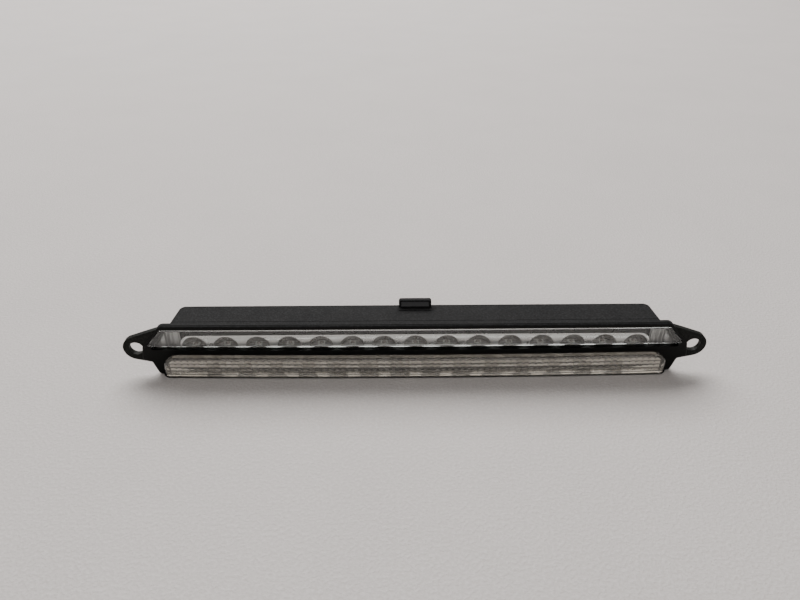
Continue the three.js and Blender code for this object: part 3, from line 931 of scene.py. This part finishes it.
def wing(side):
    """The fluted plate beyond the last cup, with a ridge, and a rim that comes forward at the slanted end."""
    columns, rows = 60, 8
    bm = bmesh.new()
    grid = []
    for j in range(rows + 1):
        z = WING_BOTTOM + (WING_TOP - WING_BOTTOM) * j / rows
        end = WING_END - (z - UPPER_WINDOW[0][1]) * WING_SLANT
        line = []
        for i in range(columns + 1):
            x = WING_START + (end - WING_START) * i / columns
            ridge = math.exp(-((x - RIDGE_X) / RIDGE_WIDTH) ** 2)
            flute = FLUTE_SHARE * math.cos(math.tau * (x - RIDGE_X) / FLUTE_PITCH)
            rim = max(0, (x - end + RIM_WIDTH) / RIM_WIDTH) ** 2
            y = WING_FACE - RIDGE_RISE * (ridge + flute) - RIM_RISE * rim
            line.append(bm.verts.new((side * x, y, z)))
        grid.append(line)
    for j in range(rows):
        for i in range(columns):
            bm.faces.new((grid[j][i], grid[j][i + 1], grid[j + 1][i + 1], grid[j + 1][i]))
    plate = new_object("wing", bm)
    if plate.data.polygons[0].normal.y > 0:
        plate.data.flip_normals()
    return thicken(plate, 0.2)


def lower_reflector_tray():
    """A slab of round bowls, one to each lower LED, with a plate at each end behind the lens."""
    tray = block(-TRAY_HALF, TRAY_HALF, TRAY_FRONT, TRAY_BACK, TRAY_BOTTOM, TRAY_TOP)
    for i in range(BOWLS):
        cut(tray, bowl_tool((i - (BOWLS - 1) / 2) * PITCH))
    for side in (-1, 1):
        head = side * UPRIGHT_POST_X
        cut(tray, bar_y(HEAD_ROOM, head, TRAY_BACK - HEAD_DEEP, TRAY_BACK + 1, UPRIGHT_POST_Z))
    tray = gather([tray, end_plate(-1), end_plate(1)])
    return place(name_piece(tray, "lower_reflector_tray"), diffuse_metal, "mirror", "lower_reflector")


def end_plate(side):
    """The plate behind one rounded end of the lower lens, leaning back to meet the tray."""
    outline = grow(LOWER_LENS, -PLUG_INSET - SKIRT - 2 * GAP)
    plate = prism_y(outline, END_PLATE_FRONT, END_PLATE_FRONT + END_PLATE_THICK, step=8.0)
    inner, outer = sorted((side * END_PLATE_INNER, side * PAST))
    combine(plate, block(inner, outer, 0, 4, 2.6, 13), "INTERSECT")
    slice_along(plate, 2.0)
    for vertex in plate.data.vertices:
        vertex.co.y += END_PLATE_LEAN * (LOWER_HALF - 2 - abs(vertex.co.x))
    return bend(plate)


def bowl_tool(x):
    """A cone with its wide end in front."""
    ends = ((BOWL_MOUTH + 0.4, TRAY_FRONT - 0.5), (BOWL_THROAT - 0.4, TRAY_BACK + 0.5))
    return prism(*([(x + a, y, BOWL_Z + b) for a, b in circle(radius, 32)] for radius, y in ends))


# ---------- LEDs ----------

def led_mesh():
    """A white package with a round well and a dome over the chip, standing on z = 0."""
    body = block(-LED_HALF_WIDE, LED_HALF_WIDE, -LED_HALF_DEEP, LED_HALF_DEEP, 0, LED_TALL)
    cut(body, bar_z(WELL_RADIUS, 0, 0, WELL_FLOOR, 1))
    soften(body, 0.08, 2)
    body.data.materials.append(led_white)
    body.data.materials.append(led_resin)
    bm = bmesh.new()
    bm.from_mesh(body.data)
    add_dome(bm)
    bm.to_mesh(body.data)
    bm.free()
    mesh = body.data
    mesh.transform(Matrix.Scale(MM, 4))
    bpy.data.objects.remove(body)
    return mesh


def add_dome(bm):
    """Adds the resin dome, in the second material."""
    rings, around = 6, 24
    loops = []
    for k in range(rings):
        turn = math.pi / 2 * k / rings
        z = DOME_FOOT + DOME_RISE * math.sin(turn)
        loops.append([bm.verts.new((a, b, z)) for a, b in circle(DOME_RADIUS * math.cos(turn), around)])
    crest = bm.verts.new((0, 0, DOME_FOOT + DOME_RISE))
    for low, high in zip(loops, loops[1:]):
        for a in range(around):
            bm.faces.new((low[a - 1], low[a], high[a], high[a - 1])).material_index = 1
    for a in range(around):
        bm.faces.new((loops[-1][a - 1], loops[-1][a], crest)).material_index = 1
    bm.faces.new(list(reversed(loops[0]))).material_index = 1


def leds():
    """One LED at each CAD LED: the upper ones face up, the lower ones forwards."""
    mesh = led_mesh()
    for face in mesh.polygons:
        face.use_smooth = True
    mesh.set_sharp_from_angle(angle=math.radians(32))
    for node_name in sorted(nodes):
        row, _, number = node_name.partition("_led_")
        if not number:
            continue
        low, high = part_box(node_name)
        made = bpy.data.objects.new(f"{row}_lamp_{number}", mesh)
        bpy.context.scene.collection.objects.link(made)
        if row == "upper":
            made.location = ((low.x + high.x) / 2, (low.y + high.y) / 2, low.z)
        else:
            made.rotation_euler.x = math.pi / 2
            made.location = ((low.x + high.x) / 2, high.y, (low.z + high.z) / 2)
        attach(made, "root")
        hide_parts(node_name)


# ---------- CAD nodes that keep their shape ----------

def dress(node_name, material, width=0.0):
    """Gives a CAD node its finish and, where it helps, rounded edges."""
    node = nodes[node_name]
    node.data.materials.clear()
    node.data.materials.append(material)
    if width:
        bevel = node.modifiers.new("soften", "BEVEL")
        bevel.width = width * MM
        bevel.segments = 2
        bevel.limit_method = "ANGLE"
        bevel.angle_limit = math.radians(40)


def dress_nodes():
    dress("connector_seal", seal_rubber)
    for name in ("level_board", "upright_board"):
        dress(name, board_mask)
    for name in ("board_link", "regulator", "reverse_diode", "resistor_1", "resistor_2", "resistor_3"):
        dress(name, part_plastic, 0.1)
    for side in ("left", "right"):
        dress(f"terminal_{side}", terminal_metal, 0.12)
        dress(f"level_board_screw_{side}", terminal_metal)
        dress(f"upright_board_screw_{side}", terminal_metal)
    dress("connector_socket", ear_plastic, 0.25)


# ---------- stage, in metres ----------

FLOOR_HALF = 6
WARM_WHITE = (1, 0.985, 0.97)

EYE = (-0.0104, FRONT - 0.2579, 0.2111)
EYE_PITCH, EYE_YAW, EYE_ROLL = math.radians(32.675), math.radians(0.552), math.radians(-0.081)
EYE_LENS, EYE_SENSOR = 28.8, 36.0


def floor():
    bm = bmesh.new()
    bmesh.ops.create_grid(bm, x_segments=1, y_segments=1, size=FLOOR_HALF)
    made = new_object("floor", bm)
    material, tree, shader = start_material("floor_foam")
    grain = use(tree, GRAIN, Grain_Scale=700.0, Mottle_Scale=12.0)
    colour = blend_colours(tree, grain.outputs["Mottle"], (0.57, 0.532, 0.515), (0.60, 0.56, 0.542))
    fleck = maths(tree, "MULTIPLY", grain.outputs["Fleck"], 0.3)
    colour = blend_colours(tree, fleck, colour, (0.78, 0.75, 0.74))
    link(tree, colour, shader.inputs["Base Color"])
    shader.inputs["Roughness"].default_value = 0.7
    bump(tree, grain.outputs["Height"], shader, 0.5, 0.0011)
    made.data.materials.append(material)
    made.location.z = -0.0001


def lamp_light(name, location, size, power):
    """A rectangular lamp that faces the middle of the model."""
    data = bpy.data.lights.new(name, "AREA")
    data.shape = "RECTANGLE"
    data.size, data.size_y = size
    data.energy = power
    data.color = WARM_WHITE
    made = bpy.data.objects.new(name, data)
    made.location = location
    made.rotation_euler = (-Vector(location)).to_track_quat("-Z", "Y").to_euler()
    bpy.context.scene.collection.objects.link(made)


def lights():
    world = bpy.data.worlds.new("studio")
    bpy.context.scene.world = world
    world.use_nodes = True
    sky = world.node_tree.nodes["Background"]
    sky.inputs["Color"].default_value = (1.0, 0.985, 0.965, 1)
    sky.inputs["Strength"].default_value = 0.26
    lamp_light("overhead", (-0.5, 2.0, 2.5), (3.4, 2.0), 178)
    lamp_light("front_fill", (0.3, -1.6, 0.9), (2.0, 1.0), 10)


def camera():
    """A hand-held view from in front and above."""
    data = bpy.data.cameras.new("camera")
    data.sensor_width = EYE_SENSOR
    data.lens = EYE_LENS
    made = bpy.data.objects.new("camera", data)
    turn = Matrix.Rotation(-EYE_YAW, 4, "Z")
    turn = turn @ Matrix.Rotation(math.pi / 2 - EYE_PITCH, 4, "X") @ Matrix.Rotation(EYE_ROLL, 4, "Z")
    made.matrix_world = Matrix.Translation(EYE) @ turn
    bpy.context.scene.collection.objects.link(made)
    bpy.context.scene.camera = made


camera()
housing_shell()
bezel_frame()
upper_lens_plate()
lower_lens_cup()
upper_reflector_cups()
lower_reflector_tray()
leds()
dress_nodes()
floor()
lights()
